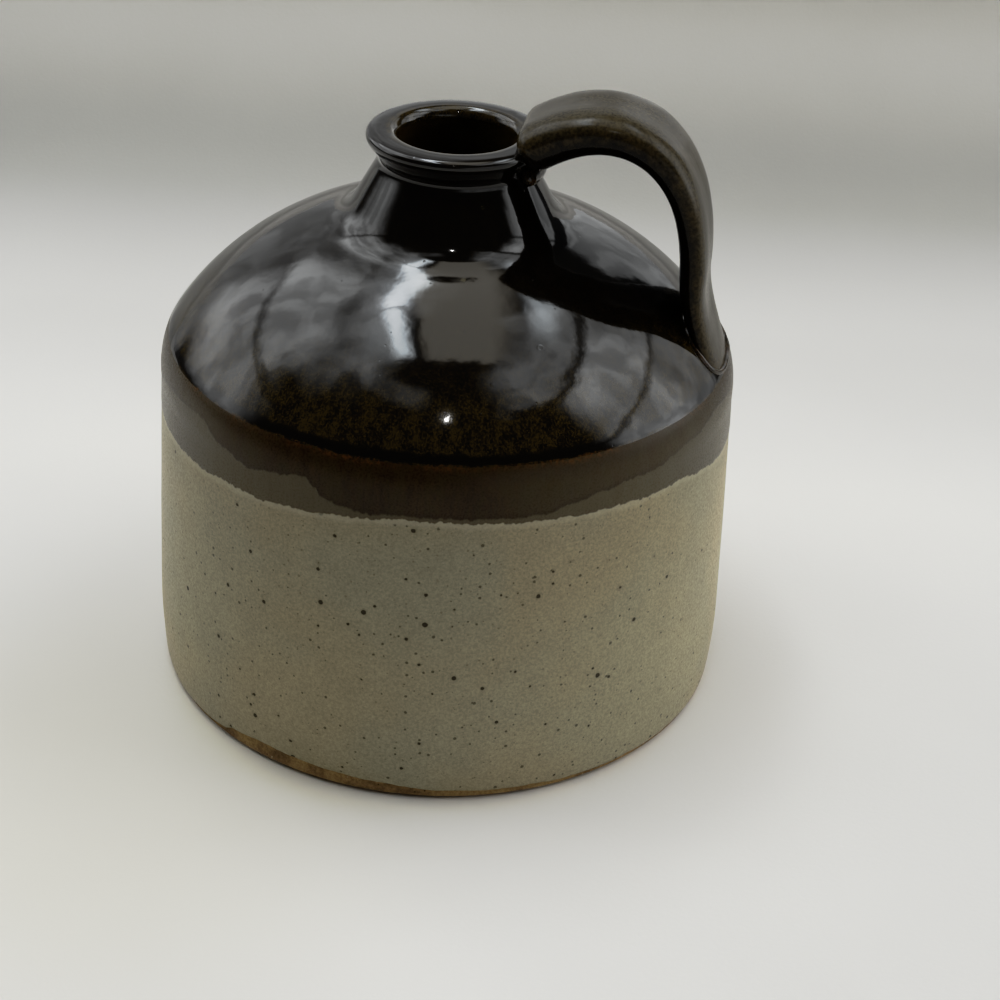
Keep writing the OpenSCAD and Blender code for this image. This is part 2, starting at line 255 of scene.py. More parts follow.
def upper_points(shape, step):
    """The glazed outline above the wall: shoulder, dome, neck, lip and the turn into the throat."""
    # The lip's widest place, where its top begins, the dip under it, and how close its points lie
    widest_share, shed_share, dip_share, lip_step, turn_steps = 0.62, 0.52, 0.05, step * 0.55, 10
    top = shape.groove_z + shape.lip_h
    groove = Vector((shape.groove_r, shape.groove_z))
    under = Vector((shape.lip_r, shape.groove_z + shape.lip_h * widest_share))
    shed = Vector((mix(shape.groove_r, shape.lip_r, shed_share), top))
    corners = [
        (Vector((shape.wall_top_r, shape.wall_top_z)), shape.ridge_swell),
        (Vector((shape.ridge_r, shape.ridge_z)), shape.dome_swell),
        (Vector((shape.dome_top_r, shape.dome_top_z)), -shape.neck_dip),
        (Vector((shape.neck_foot_r, shape.neck_foot_z)), 0.0),
        (groove, -shape.lip_h * dip_share),
        (under, shape.lip_swell),
        (shed, None),
    ]
    path = [corners[0][0]]
    for (a, rise), (b, _) in zip(corners, corners[1:]):
        fine = step if a.y < shape.groove_z - 2 * MM else lip_step
        path += swell(a, b, rise, max(4, round((b - a).length / fine)))[1:]
    for i in range(turn_steps + 1):
        turn = math.radians(90 * i / turn_steps)
        radius = shape.bore_r + shape.mouth_round * (1 - math.sin(turn))
        path.append(Vector((radius, top - shape.mouth_round * (1 - math.cos(turn)))))
    return path


def softened(points, rounds):
    """The same points with their corners worn round, and the ends left where they are."""
    for _ in range(rounds):
        points = [points[0]] + [
            b * 0.5 + (a + c) * 0.25 for a, b, c in zip(points, points[1:], points[2:])
        ] + [points[-1]]
    return points


# ------------ Mesh helpers


def turned(points, sides):
    """A bmesh turned about Z from an outline, with its faces looking away from the axis where it is widest."""
    bm = bmesh.new()
    verts = [bm.verts.new((p.x, 0, p.y)) for p in points]
    edges = [bm.edges.new(pair) for pair in zip(verts, verts[1:])]
    bmesh.ops.spin(
        bm, geom=verts + edges, cent=(0, 0, 0), axis=(0, 0, 1), dvec=(0, 0, 0), angle=math.tau,
        steps=sides, use_merge=True, use_duplicate=False,
    )
    bmesh.ops.remove_doubles(bm, verts=bm.verts, dist=1e-6)
    bmesh.ops.recalc_face_normals(bm, faces=bm.faces)
    widest = max(bm.faces, key=lambda face: face.calc_center_median().to_2d().length)
    if widest.normal.to_2d().dot(widest.calc_center_median().to_2d()) < 0:
        bmesh.ops.reverse_faces(bm, faces=bm.faces)
    return bm


def smooth_mesh(bm, name):
    """Ends a bmesh as a smooth mesh."""
    mesh = bpy.data.meshes.new(name)
    bm.to_mesh(mesh)
    bm.free()
    mesh.shade_smooth()
    return mesh


def linked(name, data):
    """A new object in the scene."""
    made = bpy.data.objects.new(name, data)
    bpy.context.scene.collection.objects.link(made)
    return made


def placed(mesh, finishes, replaced):
    """Links a mesh as a piece that rides on the jug. Its faces already say which of the finishes they wear."""
    worn = [face.material_index for face in mesh.polygons]
    mesh.materials.clear()
    for material in finishes:
        mesh.materials.append(material)
    mesh.polygons.foreach_set("material_index", worn)
    piece = linked(mesh.name, mesh)
    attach(piece, "root")
    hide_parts(*replaced)
    return piece


def finish_node(name, material):
    """Gives a node of the frame its material and leaves the rest of it alone."""
    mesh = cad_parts[name].data
    mesh.materials.clear()
    mesh.materials.append(material)


def note_heights(bm):
    """Keeps for each point how far it stands above the dark dip's edge and above its grey fringe, in mm."""
    above_edge, above_fringe, brown_depth = (
        bm.verts.layers.float.new(name) for name in ("above_edge", "above_fringe", "brown_depth")
    )
    known = {}
    for vert in bm.verts:
        angle = round(degrees_round(vert.co), 2)
        if angle not in known:
            known[angle] = [round_the_jug(marks, angle) for marks in (DIP_EDGE, FRINGE_EDGE, BROWN_DEPTH)]
        edge, fringe, vert[brown_depth] = known[angle]
        vert[above_edge] = vert.co.z / MM - edge
        vert[above_fringe] = vert.co.z / MM - fringe
    return above_edge


def hand_wave(co, height):
    """How far the thrower's hand left the clay low, from 0 to height: slow rings and a slow drift."""
    drift = noise.noise(Vector((co.x, co.y, co.z * 0.6)) * 28)
    rings = math.sin(co.z / (3.4 * MM) + 2.2 * noise.noise(co * 12))
    return height * (1 + 0.55 * drift + 0.3 * rings)


# ------------ Shader trees, built from signals


class Signal:
    """What runs through one socket of a shader tree. Sums, differences and products of it become nodes."""

    def __init__(self, socket):
        self.socket, self.tree = socket, socket.id_data

    def __add__(self, other):
        return calc("ADD", self, other)

    def __mul__(self, other):
        return calc("MULTIPLY", self, other)

    def __sub__(self, other):
        return calc("SUBTRACT", self, other)

    def __rsub__(self, other):
        return calc("SUBTRACT", other, self)


def feed(fed, inputs):
    """Wires or fills a node's inputs."""
    for key, value in inputs.items():
        if isinstance(value, Signal):
            value.tree.links.new(value.socket, fed.inputs[key])
        else:
            fed.inputs[key].default_value = value
    return fed


def add(tree, kind, inputs=None, **settings):
    """Adds a node beside the last one, sets it and feeds it."""
    made = tree.nodes.new(kind)
    row, place = divmod(len(tree.nodes), 9)
    made.location = (place * 230, -row * 300)
    for name, value in settings.items():
        setattr(made, name, value)
    return feed(made, inputs or {})


def node(kind, inputs, out=0, **settings):
    """The signal that leaves a new node, which joins the tree of the first signal that enters it."""
    tree = next(value.tree for value in inputs.values() if isinstance(value, Signal))
    return Signal(add(tree, kind, inputs, **settings).outputs[out])


def source(tree, kind, out, **settings):
    """The signal that leaves a new node with nothing to enter it."""
    return Signal(add(tree, kind, **settings).outputs[out])


def calc(operation, a, b=0.0):
    return node("ShaderNodeMath", {0: a, 1: b}, operation=operation)


def between(value, low, high, start=0.0, end=1.0):
    """Eases from start to end while the value goes from low to high."""
    inputs = {"Value": value, "From Min": low, "From Max": high, "To Min": start, "To Max": end}
    return node("ShaderNodeMapRange", inputs, "Result", interpolation_type="SMOOTHSTEP")


def rgba(value):
    return value if isinstance(value, Signal) else (*value, 1.0)


def tint(factor, a, b):
    return node("ShaderNodeMix", {0: factor, 6: rgba(a), 7: rgba(b)}, 2, data_type="RGBA")


def layered(tone, *layers):
    """A tone with others laid over it in turn, each by its mask, its strength and its colour."""
    for mask, strength, over in layers:
        tone = tint(mask * strength, tone, over)
    return tone


def scaled(value, level):
    return node("ShaderNodeVectorMath", {0: value, "Scale": level}, operation="SCALE")


def cloud(where, scale, detail=3.0, rough=0.55, warp=0.0):
    """Noise over a place, about 0.5 with most of it between 0.35 and 0.65. The scale is per metre."""
    inputs = {"Vector": where, "Scale": scale, "Detail": detail, "Roughness": rough, "Distortion": warp}
    return node("ShaderNodeTexNoise", inputs)


def cells(where, scale):
    """Distance to the middle of each place's cell, and the cell's draws."""
    made = add(where.tree, "ShaderNodeTexVoronoi", {"Vector": where, "Scale": scale, "Randomness": 1.0})
    draws = add(where.tree, "ShaderNodeSeparateColor", {0: Signal(made.outputs["Color"])})
    return Signal(made.outputs["Distance"]), [Signal(draw) for draw in draws.outputs]


def stretched(where, x=1.0, y=1.0, z=1.0, shift=(0.0, 0.0, 0.0)):
    return node("ShaderNodeMapping", {"Vector": where, "Location": shift, "Scale": (x, y, z)})


def height_of(place):
    return node("ShaderNodeSeparateXYZ", {0: place}, 2)


def noted(place, *names):
    """Signals of the numbers that the mesh keeps for each point."""
    return [source(place.tree, "ShaderNodeAttribute", "Fac", attribute_name=name) for name in names]


def bump(height, distance=TENTH, strength=1.0):
    return node("ShaderNodeBump", {"Height": height, "Strength": strength, "Distance": distance})


def shared(name, inputs, outputs):
    """Makes a node group of a function from signals to signals. Each call of the function adds a group node."""

    def wrap(build):
        def use(*values):
            group = bpy.data.node_groups.get(name)
            if not group:
                group = bpy.data.node_groups.new(name, "ShaderNodeTree")
                for way, sockets in (("INPUT", inputs), ("OUTPUT", outputs)):
                    for label, kind in sockets.items():
                        group.interface.new_socket(label, in_out=way, socket_type="NodeSocket" + kind)
                start = add(group, "NodeGroupInput")
                leaving = build(*[Signal(socket) for socket in start.outputs[:len(inputs)]])
                add(group, "NodeGroupOutput", dict(enumerate(leaving)))
            made = add(values[0].tree, "ShaderNodeGroup", node_tree=group)
            return [Signal(socket) for socket in feed(made, dict(enumerate(values))).outputs]
        return use
    return wrap


@shared(
    "Iron specks",
    {"Place": "Vector", "Cells per metre": "Float", "Radius in cells": "Float", "Edge": "Float",
     "Crowding": "Float"},
    {"Mask": "Float", "Halo": "Float"},
)
def round_specks(where, per_metre, radius, edge, crowding):
    """Round specks of many sizes: one in a cell, cut off by the surface and missing where the cloud is low."""
    wobble = node("ShaderNodeTexNoise", {"Vector": where, "Scale": 2600.0, "Detail": 1.0}, "Color")
    wobble = node("ShaderNodeVectorMath", {0: wobble, 1: (0.5, 0.5, 0.5)}, operation="SUBTRACT")
    pushed = node("ShaderNodeVectorMath", {0: where, 1: scaled(wobble, 0.22 * MM)}, operation="ADD")
    distance, draws = cells(pushed, per_metre)
    crowd = between(cloud(where, 42.0, 2.0), 0.62 - crowding, 0.66)
    size = calc("POWER", draws[0], 1.35) * radius * crowd
    inside = size - distance
    halo = between(calc("DIVIDE", inside, calc("MAXIMUM", size, 0.02)), -1.2, 0.2)
    return between(inside, 0.0, edge), halo


def specks(where, per_metre, radius, edge, crowding, shift=None):
    """Mask and halo of specks. A shift keeps two kinds of specks from falling on the same places."""
    place = stretched(where, shift=shift) if shift else where
    return round_specks(place, per_metre, radius, edge, crowding)


@shared(
    "Pale coat", {"Place": "Vector", "Above edge": "Float"},
    {"Color": "Color", "Roughness": "Float", "Height": "Float"},
)
def pale_coat(where, above):
    """The pale coat: a grey-green stone tone with drifts, grain, iron specks, a milky line under the dip, and
    painted light that brightens it low on the wall.
    """
    look = bpy.context.scene.glaze_look
    drift = between(cloud(where, 30.0, 2.0, 0.5, 0.3), 0.34, 0.66)
    patch = between(cloud(where, 130.0), 0.30, 0.70, 0.965, 1.035)
    grain = between(cloud(where, 1750.0, 3.0, 0.66), 0.30, 0.70, 0.83, 1.15)
    dust = between(cloud(where, 5200.0, 2.0, 0.5), 0.30, 0.70, 0.90, 1.08)
    # Painted light: the coat is brighter low on the wall, where the floor lights it, and darker towards the top
    painted_floor_light = between(height_of(where), 0.015, 0.085, 1.12, 0.89)
    tone = scaled(tint(drift, look.pale, look.pale_cool), patch * grain * dust * painted_floor_light)

    fleck, _ = specks(where, 520.0, 0.20, 0.12, 0.9, (0.31, 0.17, 0.05))
    small, _ = specks(where, 600.0, 0.27, 0.06, 0.62)
    tiny, _ = specks(where, 900.0, 0.30, 0.12, 0.80, (0.05, 0.41, 0.23))
    large, halo = specks(where, 330.0, 0.215, 0.03, 0.50, (0.11, 0.07, 0.02))
    ragged = cloud(stretched(where, z=0.35), 620.0, 3.0, 0.6)
    near = above + between(ragged, 0.3, 0.7, -0.25, 0.25)
    milk = between(near, -1.7, -0.4) * between(near, 0.5, 0.1)
    tone = layered(
        tone, (fleck, 0.32, look.pale_milk), (tiny, 0.40, look.band_light), (small, 0.72, look.iron),
        (halo, 0.16, look.band_light), (large, 0.92, look.iron), (milk, 0.34, look.pale_milk),
    )
    rough = between(grain, 0.83, 1.15, 0.44, 0.33) + large * 0.15
    return tone, rough, cloud(where, 900.0) * 0.6 - (large + small) * 0.35


@shared("Glaze ripple", {"Place": "Vector"}, {"Height": "Float", "Pits": "Float"})
def glaze_ripple(where):
    """The slow unevenness of a thick glaze, with a few pits and popped bubbles."""
    slow = cloud(where, 55.0, 2.0, 0.4, 0.6) * 2.6
    fine = cloud(where, 260.0, 2.0, 0.45) * 0.30
    skin = cloud(where, 1300.0, 2.0, 0.5) * 0.030
    bubble, draws = cells(where, 118.0)
    size = between(draws[0], 0.72, 1.0) * 0.15
    ring = between(calc("ABSOLUTE", bubble - size), 0.03, 0.0) * between(size, 0.02, 0.05)
    prick, draws = cells(where, 420.0)
    prick = between(prick, 0.11, 0.03) * between(draws[1], 0.80, 0.90)
    return slow + fine + skin + ring * 0.16 - prick * 0.22, calc("MAXIMUM", ring, prick)


@shared("Dark coat", {"Place": "Vector", "Mottle": "Float", "Thin": "Float"}, {"Color": "Color"})
def dark_coat(where, mottle, thin):
    """The dark glaze itself: near black where thick, olive and brown where mottled, rust where thin."""
    look = bpy.context.scene.glaze_look
    broad = between(cloud(where, 420.0, 4.0, 0.62), 0.36, 0.66)
    fine = between(cloud(where, 2300.0, 4.0, 0.7), 0.40, 0.64)
    tone = tint(between((broad * 0.6 + fine * 0.8) * mottle, 0.0, 1.15), look.dark, look.olive)
    burn = between(cloud(where, 1100.0, 4.0, 0.7), 0.42, 0.62)
    return [tint(thin * (burn * 0.85 + 0.15), tone, look.rust)]


# ------------ Materials


def principled(name):
    """A new material with its shader and its Object coordinates."""
    material = bpy.data.materials.new(name)
    material.use_nodes = True
    tree = material.node_tree
    shader = next(n for n in tree.nodes if n.type == "BSDF_PRINCIPLED")
    return material, shader, source(tree, "ShaderNodeTexCoord", "Object")


def over_the_break(place, shape):
    """Height over the break between wall and dome in mm, a little uneven."""
    uneven = between(cloud(place, 300.0, 3.0, 0.6), 0.3, 0.7, -0.22, 0.22)
    return (height_of(place) - shape.ridge_z) * (1 / MM) + uneven


def rusty(place):
    """Where the glaze breaks to rust, in small crowded spots that come and go round the jug."""
    spots = between(cloud(place, 1250.0, 4.0, 0.7), 0.46, 0.60)
    here = between(cloud(place, 60.0, 2.0, 0.5), 0.40, 0.62, 0.18, 1.0)
    return (spots * 0.52 + 0.02) * here


def pale_glaze_material():
    material, shader, place = principled("pale_glaze")
    tone, rough, height = pale_coat(place, *noted(place, "above_edge"))
    feed(shader, {
        "Base Color": tone, "Roughness": rough, "Specular IOR Level": WALL_SHINE,
        "Normal": bump(height, 0.6 * TENTH, 0.8),
    })
    return material


def dome_glaze_material(shape):
    """The dark coat above the break: near black and glossy, mottled olive low on the dome."""
    look = bpy.context.scene.glaze_look
    material, shader, place = principled("dome_glaze")
    over = over_the_break(place, shape)
    pooled = between(over, 0.1, 0.5) * between(over, 2.5, 1.3)
    low = between(height_of(place), 0.080, 0.096, 1.0, 0.20) * (1.0 - pooled)
    # The lip is mottled where it rolls into the throat
    top = shape.groove_z + shape.lip_h
    out = node("ShaderNodeVectorMath", {0: stretched(place, z=0.0)}, "Value", operation="LENGTH")
    inner = between(out, shape.bore_r + 3.2 * MM, shape.bore_r + 1.6 * MM)
    mottle = low + inner * between(height_of(place), top - 6 * MM, top - 3 * MM)

    tone = dark_coat(stretched(place, z=0.4), mottle, 0.0)[0]
    flecks, _ = specks(place, 105.0, 0.13, 0.012, 0.40, (0.02, 0.37, 0.11))
    few = flecks * between(cloud(place, 1400.0, 3.0, 0.6), 0.35, 0.6) * mottle
    tone = layered(tone, (few, 0.75, look.fleck), (rusty(place), between(over, 0.35, -0.1), look.rust))
    height, pits = glaze_ripple(place)
    feed(shader, {
        "Base Color": tone, "Roughness": pits * 0.10 + 0.075, "IOR": GLOSSY_IOR, "Normal": bump(height),
    })
    return material


def band_glaze_material(shape):
    """The dark dip on the wall: streaked brown over a grey fringe that ends in a finely ragged edge."""
    look = bpy.context.scene.glaze_look
    material, shader, place = principled("band_glaze")
    above_edge, above_fringe, depth = noted(place, "above_edge", "above_fringe", "brown_depth")

    # Streaks that run down the wall, and the fine teeth that they leave along the edge
    runs = cloud(stretched(place, z=0.10), 1700.0, 3.0, 0.6)
    wide_runs = cloud(stretched(place, z=0.14), 420.0)
    teeth = cloud(stretched(place, z=0.30), 850.0, 3.0, 0.6)
    bays = cloud(stretched(place, z=0.4), 150.0, 2.0, 0.5)
    ragged = between(teeth, 0.28, 0.72, -0.30, 0.30) + between(bays, 0.3, 0.7, -0.22, 0.22)
    edge = above_edge + ragged
    coat = between(edge, -0.10, 0.16)
    browned = between(above_fringe + ragged * 0.9, -0.30, 0.30)
    line = browned * between(above_fringe, 1.3, 0.2)

    streak = between(runs, 0.38, 0.66) * 0.6 + between(wide_runs, 0.40, 0.64) * 0.5
    speckle = between(cloud(place, 2300.0, 3.0, 0.6), 0.36, 0.66)
    drifts = between(cloud(stretched(place, z=0.45), 330.0, 4.0, 0.65, 0.4), 0.44, 0.60)
    brown = layered(
        look.band, (streak, 0.50, look.band_light), (speckle, 0.22, look.band_light),
        (drifts, 0.55, look.band_olive),
    )
    grey = layered(
        look.fringe, (streak, 0.28, look.band_light), (speckle, 0.16, look.band_light),
        (between(edge, 0.55, 0.05), 0.35, look.band_light),
    )
    brown = tint((1.0 - depth) * (0.95 - streak * 0.45), brown, grey)
    band = tint(browned, grey, layered(brown, (line, 0.40, look.band)))

    # Rust where the glaze breaks over the ridge, and a darker line under it
    over = over_the_break(place, shape)
    rust = between(over, -1.3, -0.3) * rusty(place)
    dark_line = between(over, -4.2, -1.2) * 0.35
    band = layered(tint(rust, band, look.rust), (dark_line, 1.0 - rust, look.band))

    pale, pale_rough, pale_height = pale_coat(place, above_edge)
    bare = 1.0 - coat
    # The coat stands proud of the pale glaze along its edge
    proud = between(edge, -0.12, 0.30) * 0.7 + browned * 0.35
    feed(shader, {
        "Base Color": tint(coat, pale, band),
        "Roughness": coat * between(speckle, 0.0, 1.0, 0.26, 0.36) + bare * pale_rough,
        "Specular IOR Level": WALL_SHINE,
        "Normal": bump(proud + runs * 0.30 + pale_height * bare * 0.5),
    })
    return material


def strap_glaze_material():
    """The dark coat on the strap: lighter on the outer face, partly worn glaze and partly a painted sheen, thin
    on the edges and rusty at the tail.
    """
    look = bpy.context.scene.glaze_look
    material, shader, place = principled("strap_glaze")
    thin, outer, tail = noted(place, "thin", "outer", "tail")
    tone = dark_coat(place, outer * 0.4 + 0.30, tail * 0.75)[0]
    fine = between(cloud(place, 1500.0, 4.0, 0.6), 0.36, 0.62)
    patch = between(cloud(place, 330.0, 3.0, 0.6), 0.34, 0.64)
    # The outer face is lightened, partly as worn glaze and partly as a painted sheen
    tone = layered(
        tone, (fine * 0.45 + 0.25, outer, look.strap_back_sheen), (thin * patch, fine * 0.6 + 0.15, look.strap_break)
    )
    height, pits = glaze_ripple(place)
    pull = cloud(stretched(place, x=0.4, z=0.4), 420.0, 2.0, 0.5) * 0.5
    feed(shader, {
        "Base Color": tone, "Roughness": outer * 0.16 + 0.07 + pits * 0.1,
        "Specular IOR Level": 0.18, "IOR": GLOSSY_IOR, "Normal": bump(height + pull),
    })
    return material


def joint_glaze_material():
    """The dark coat where slip and wad stand proud of the joint, browner in patches."""
    material, shader, place = principled("joint_glaze")
    patches = between(cloud(place, 240.0, 3.0, 0.6), 0.42, 0.66)
    feed(shader, {
        "Base Color": dark_coat(place, 1.0, patches * 0.5)[0],
        "Roughness": between(patches, 0.0, 1.0, 0.12, 0.26), "IOR": GLOSSY_IOR,
        "Normal": bump(glaze_ripple(place)[0] + cloud(place, 700.0) * 0.7),
    })
    return material


def clay_material():
    """Bare toasted stoneware: tan with darker patches, pale and dark grit, and the drag of the turning tool."""
    look = bpy.context.scene.glaze_look
    material, shader, place = principled("bare_clay")
    patch = between(cloud(place, 130.0, 4.0, 0.65), 0.36, 0.66)
    grain = between(cloud(place, 1500.0, 4.0, 0.7), 0.3, 0.7, 0.72, 1.25)
    grit, _ = specks(place, 620.0, 0.24, 0.05, 0.8)
    dark, _ = specks(place, 520.0, 0.20, 0.05, 0.6, (0.2, 0.1, 0.3))
    tone = scaled(tint(patch, look.clay, look.clay_dark), grain)
    drag = cloud(stretched(place, x=0.25, y=0.25, z=2.0), 900.0, 3.0, 0.6)
    feed(shader, {
        "Base Color": layered(tone, (grit, 0.75, look.grit), (dark, 0.8, look.iron)),
        "Roughness": between(patch, 0.0, 1.0, 0.86, 0.70),
        "Specular IOR Level": WALL_SHINE,
        "Normal": bump(drag * 0.7 + cloud(place, 2200.0) * 0.6 + (grit - dark)),
    })
    return material


def liner_material():
    """The thinner coat inside: brown with olive patches and a fine light mottle."""
    look = bpy.context.scene.glaze_look
    material, shader, place = principled("liner_glaze")
    broad = between(cloud(place, 110.0, 4.0, 0.6), 0.38, 0.66)
    fine = between(cloud(place, 900.0, 3.0, 0.6), 0.4, 0.7)
    feed(shader, {
        "Base Color": layered(tint(broad, look.band, look.olive), (fine, 0.22, look.band_light)),
        "Roughness": between(broad, 0.0, 1.0, 0.12, 0.22), "IOR": 1.55,
        "Normal": bump(glaze_ripple(place)[0]),
    })
    return material


def paper_material():
    """Matt pale paper with a faint tooth, toned by where it lies with painted shade and painted light."""
    studio = bpy.context.scene.studio_look
    material, shader, place = principled("studio_paper")
    tooth = between(cloud(place, 9.0, 3.0, 0.5), 0.3, 0.7, 0.975, 1.02)
    # By height: painted shade, greyest low in the card's bend and lighter again higher up
    high = height_of(place)
    grey = between(high, -0.012, 0.018, 1.0, 0.55) + between(high, 0.022, 0.065, 0.0, 0.40)
    # Painted shade and light on the floor: a little greyer far behind the jug, a painted shadow in front of its
    # left side and painted light at its right
    ahead = node("ShaderNodeVectorRotate", {"Vector": place, "Angle": studio.heading}, rotation_type="Z_AXIS")
    painted_far_shade = between(node("ShaderNodeSeparateXYZ", {0: ahead}, 1), 0.06, 0.16, 1.02, 0.86)
    tone = studio.floor
    for middle, reach, full, patch in (
        ((-0.060, -0.075, 0.0), 0.10, 0.015, studio.floor_shade),
        ((0.064, -0.036, 0.0), 0.085, 0.01, studio.floor_painted_light),
    ):
        away = node("ShaderNodeVectorMath", {0: place, 1: middle}, "Value", operation="DISTANCE")
        tone = tint(between(away, reach, full), tone, patch)
    # Above what the camera sees the card glows softly. It is seen and lights the jug from its front only
    feed(shader, {
        "Base Color": scaled(tone, tooth * grey * painted_far_shade),
        "Emission Color": tint(between(high, 0.076, 0.088), (0.0, 0.0, 0.0), studio.card_glow),
        "Emission Strength": 1.0,
        "Alpha": 1.0 - source(place.tree, "ShaderNodeNewGeometry", "Backfacing"),
        "Roughness": 0.55,
        "Specular IOR Level": 0.3,
        "Normal": bump(cloud(place, 900.0, 2.0), 0.3 * TENTH),
    })
    return material


# ------------ The strap's section and way


def pulled(points, t):
    s = 1 - t
    return points[0] * s ** 3 + points[1] * 3 * s * s * t + points[2] * 3 * s * t * t + points[3] * t ** 3


class StrapWay:
    """The strap's centre line and sections, from 0 at the root over 1 at the drop to 2 at the tail's end."""

    def __init__(self, shape, strap):
        self.strap = strap
        root = Vector((strap.root_r, shape.groove_z + strap.root_rise))
        crown = Vector((strap.root_r + strap.root_pull, shape.groove_z + shape.lip_h + strap.crown_pull))
        drop = Vector((strap.drop_r, shape.ridge_z + strap.drop_rise))
        tail = Vector((strap.tail_r, shape.ridge_z - strap.tail_drop))
        hang = Vector((strap.drop_lean, -strap.drop_pull))
        # The tail goes straight on from the drop, and ends almost upright on the shoulder
        pull, lean = (drop.y - tail.y) * 0.36, (tail.x - drop.x) * 0.04
        self.crown = [root, crown, drop - hang, drop]
        self.tail = [drop, drop + hang.normalized() * pull, tail - Vector((lean, -pull)), tail]
        self.root_place = strap.root_round / (drop - root).length
        self.tail_place = 2 - strap.tail_round / (tail - drop).length

    def centre(self, u):
        return pulled(self.crown, u) if u < 1 else pulled(self.tail, u - 1)

    def fullness(self, u):
        """How full the section is: 1, and less only where the two ends round off."""
        if u < self.root_place:
            return math.sqrt(1 - (1 - u / self.root_place) ** 2)
        if u > self.tail_place:
            return math.sqrt(max(0.0, 1 - ((u - self.tail_place) / (2 - self.tail_place)) ** 2))
        return 1.0

    def section(self, u, sides):
        """Points of one section with how far round each stands: across from -1 to 1 and flat from -1 to 1.

        The section is narrower at the ends, and goes from square-edged to round towards the tail.
        """
        strap, full, late = self.strap, self.fullness(u), max(0.0, u - 1)
        end_share, square, rounded = 0.66, 2.7, 2.1
        step = self.root_place / 40
        along = (self.centre(min(u + step, 2)) - self.centre(max(u - step, 0))).normalized()
        out, centre = Vector((-along.y, along.x)), self.centre(u)
        depth = mix(strap.root_t, strap.strap_t, eased(u)) if u < 1 else mix(strap.strap_t, strap.tail_t, late)
        half_t = mix(strap.end_t, depth, full) / 2
        half_w = mix(strap.strap_w, strap.tail_w, eased(late)) * mix(end_share, 1, full) / 2
        roundness = 2 / mix(square, rounded, late)
        for k in range(sides):
            a = math.tau * k / sides
            across = math.copysign(abs(math.sin(a)) ** roundness, math.sin(a))
            flat = math.copysign(abs(math.cos(a)) ** roundness, math.cos(a))
            hollow = strap.hollow * full * min(1, 2 - u) * (1 - across * across) ** 2 if flat > 0 else 0.0
            lift = half_t * flat - hollow - eased(late) * (half_w * across) ** 2 / (2 * strap.tail_r)
            yield Vector((centre.x + out.x * lift, half_w * across, centre.y + out.y * lift)), across, flat

    def places(self, crown=96, tail=64, ends=10):
        """Where the skin has its rings, closer where the two ends round off."""
        turns = [math.radians(90 * i / ends) for i in range(ends + 1)]
        rings = [self.root_place * (1 - math.cos(turn)) for turn in turns]
        rings += [mix(self.root_place, 1, i / crown) for i in range(1, crown + 1)]
        rings += [mix(1, self.tail_place, i / tail) for i in range(1, tail + 1)]
        return rings + [mix(self.tail_place, 2, math.sin(turn)) for turn in turns[1:]]


# ------------ Operators, one for each piece or group of like pieces


class JUG_OT_clay(bpy.types.Operator):
    """Give the bare clay and the inner coat their finish"""

    bl_idname = "jug.clay"
    bl_label = "Clay and Liner"

    def execute(self, context):
        clay = clay_material()
        for name in ("lower_body", "shoulder_dome", "rolled_lip"):
            finish_node(name, clay)
        finish_node("liner_glaze", liner_material())
        return {"FINISHED"}


class JUG_OT_pale_coat(bpy.types.Operator):
    """Turn the pale coat from its ragged foot to just under the dark dip"""

    bl_idname = "jug.pale_coat"
    bl_label = "Pale Coat"

    def execute(self, context):
        shape, look = context.scene.jug_shape, context.scene.glaze_look
        foot, top, roll_w, fine_h, sag_h = shape.bare_foot_h, 70 * MM, 0.42 * MM, 5.6 * MM, 5.5 * MM
        points = wall_points(shape, foot, foot + fine_h, 0.4 * MM)
        points += wall_points(shape, foot + fine_h, top, 1.15 * MM)[1:]
        # The rolled lower edge of the coat, from the clay out to its face
        roll = [
            Vector((points[0].x - roll_w * math.cos(math.radians(turn)), foot + drop * MM))
            for turn, drop in ((0, 0.34), (30, 0.14), (60, 0.03))
        ]
        bm = turned(roll + points, look.sides)
        for vert in bm.verts:
            co = vert.co
            side = co.to_2d().normalized()
            low = eased(clamp(1 - (co.z - foot) / sag_h))
            edge = round_the_jug(FOOT_EDGE, degrees_round(co)) - foot / MM
            sag = noise.noise(Vector((*side, 0.3)) * 9) * 0.25 + noise.noise(Vector((*side, 2.0)) * 42) * 0.16
            co.z += (edge + sag) * MM * low
            co.xy -= side * hand_wave(co, look.ring_wave) * (1 - low)
        note_heights(bm)
        placed(smooth_mesh(bm, "pale_coat"), [pale_glaze_material()], ["ash_glaze"])
        return {"FINISHED"}


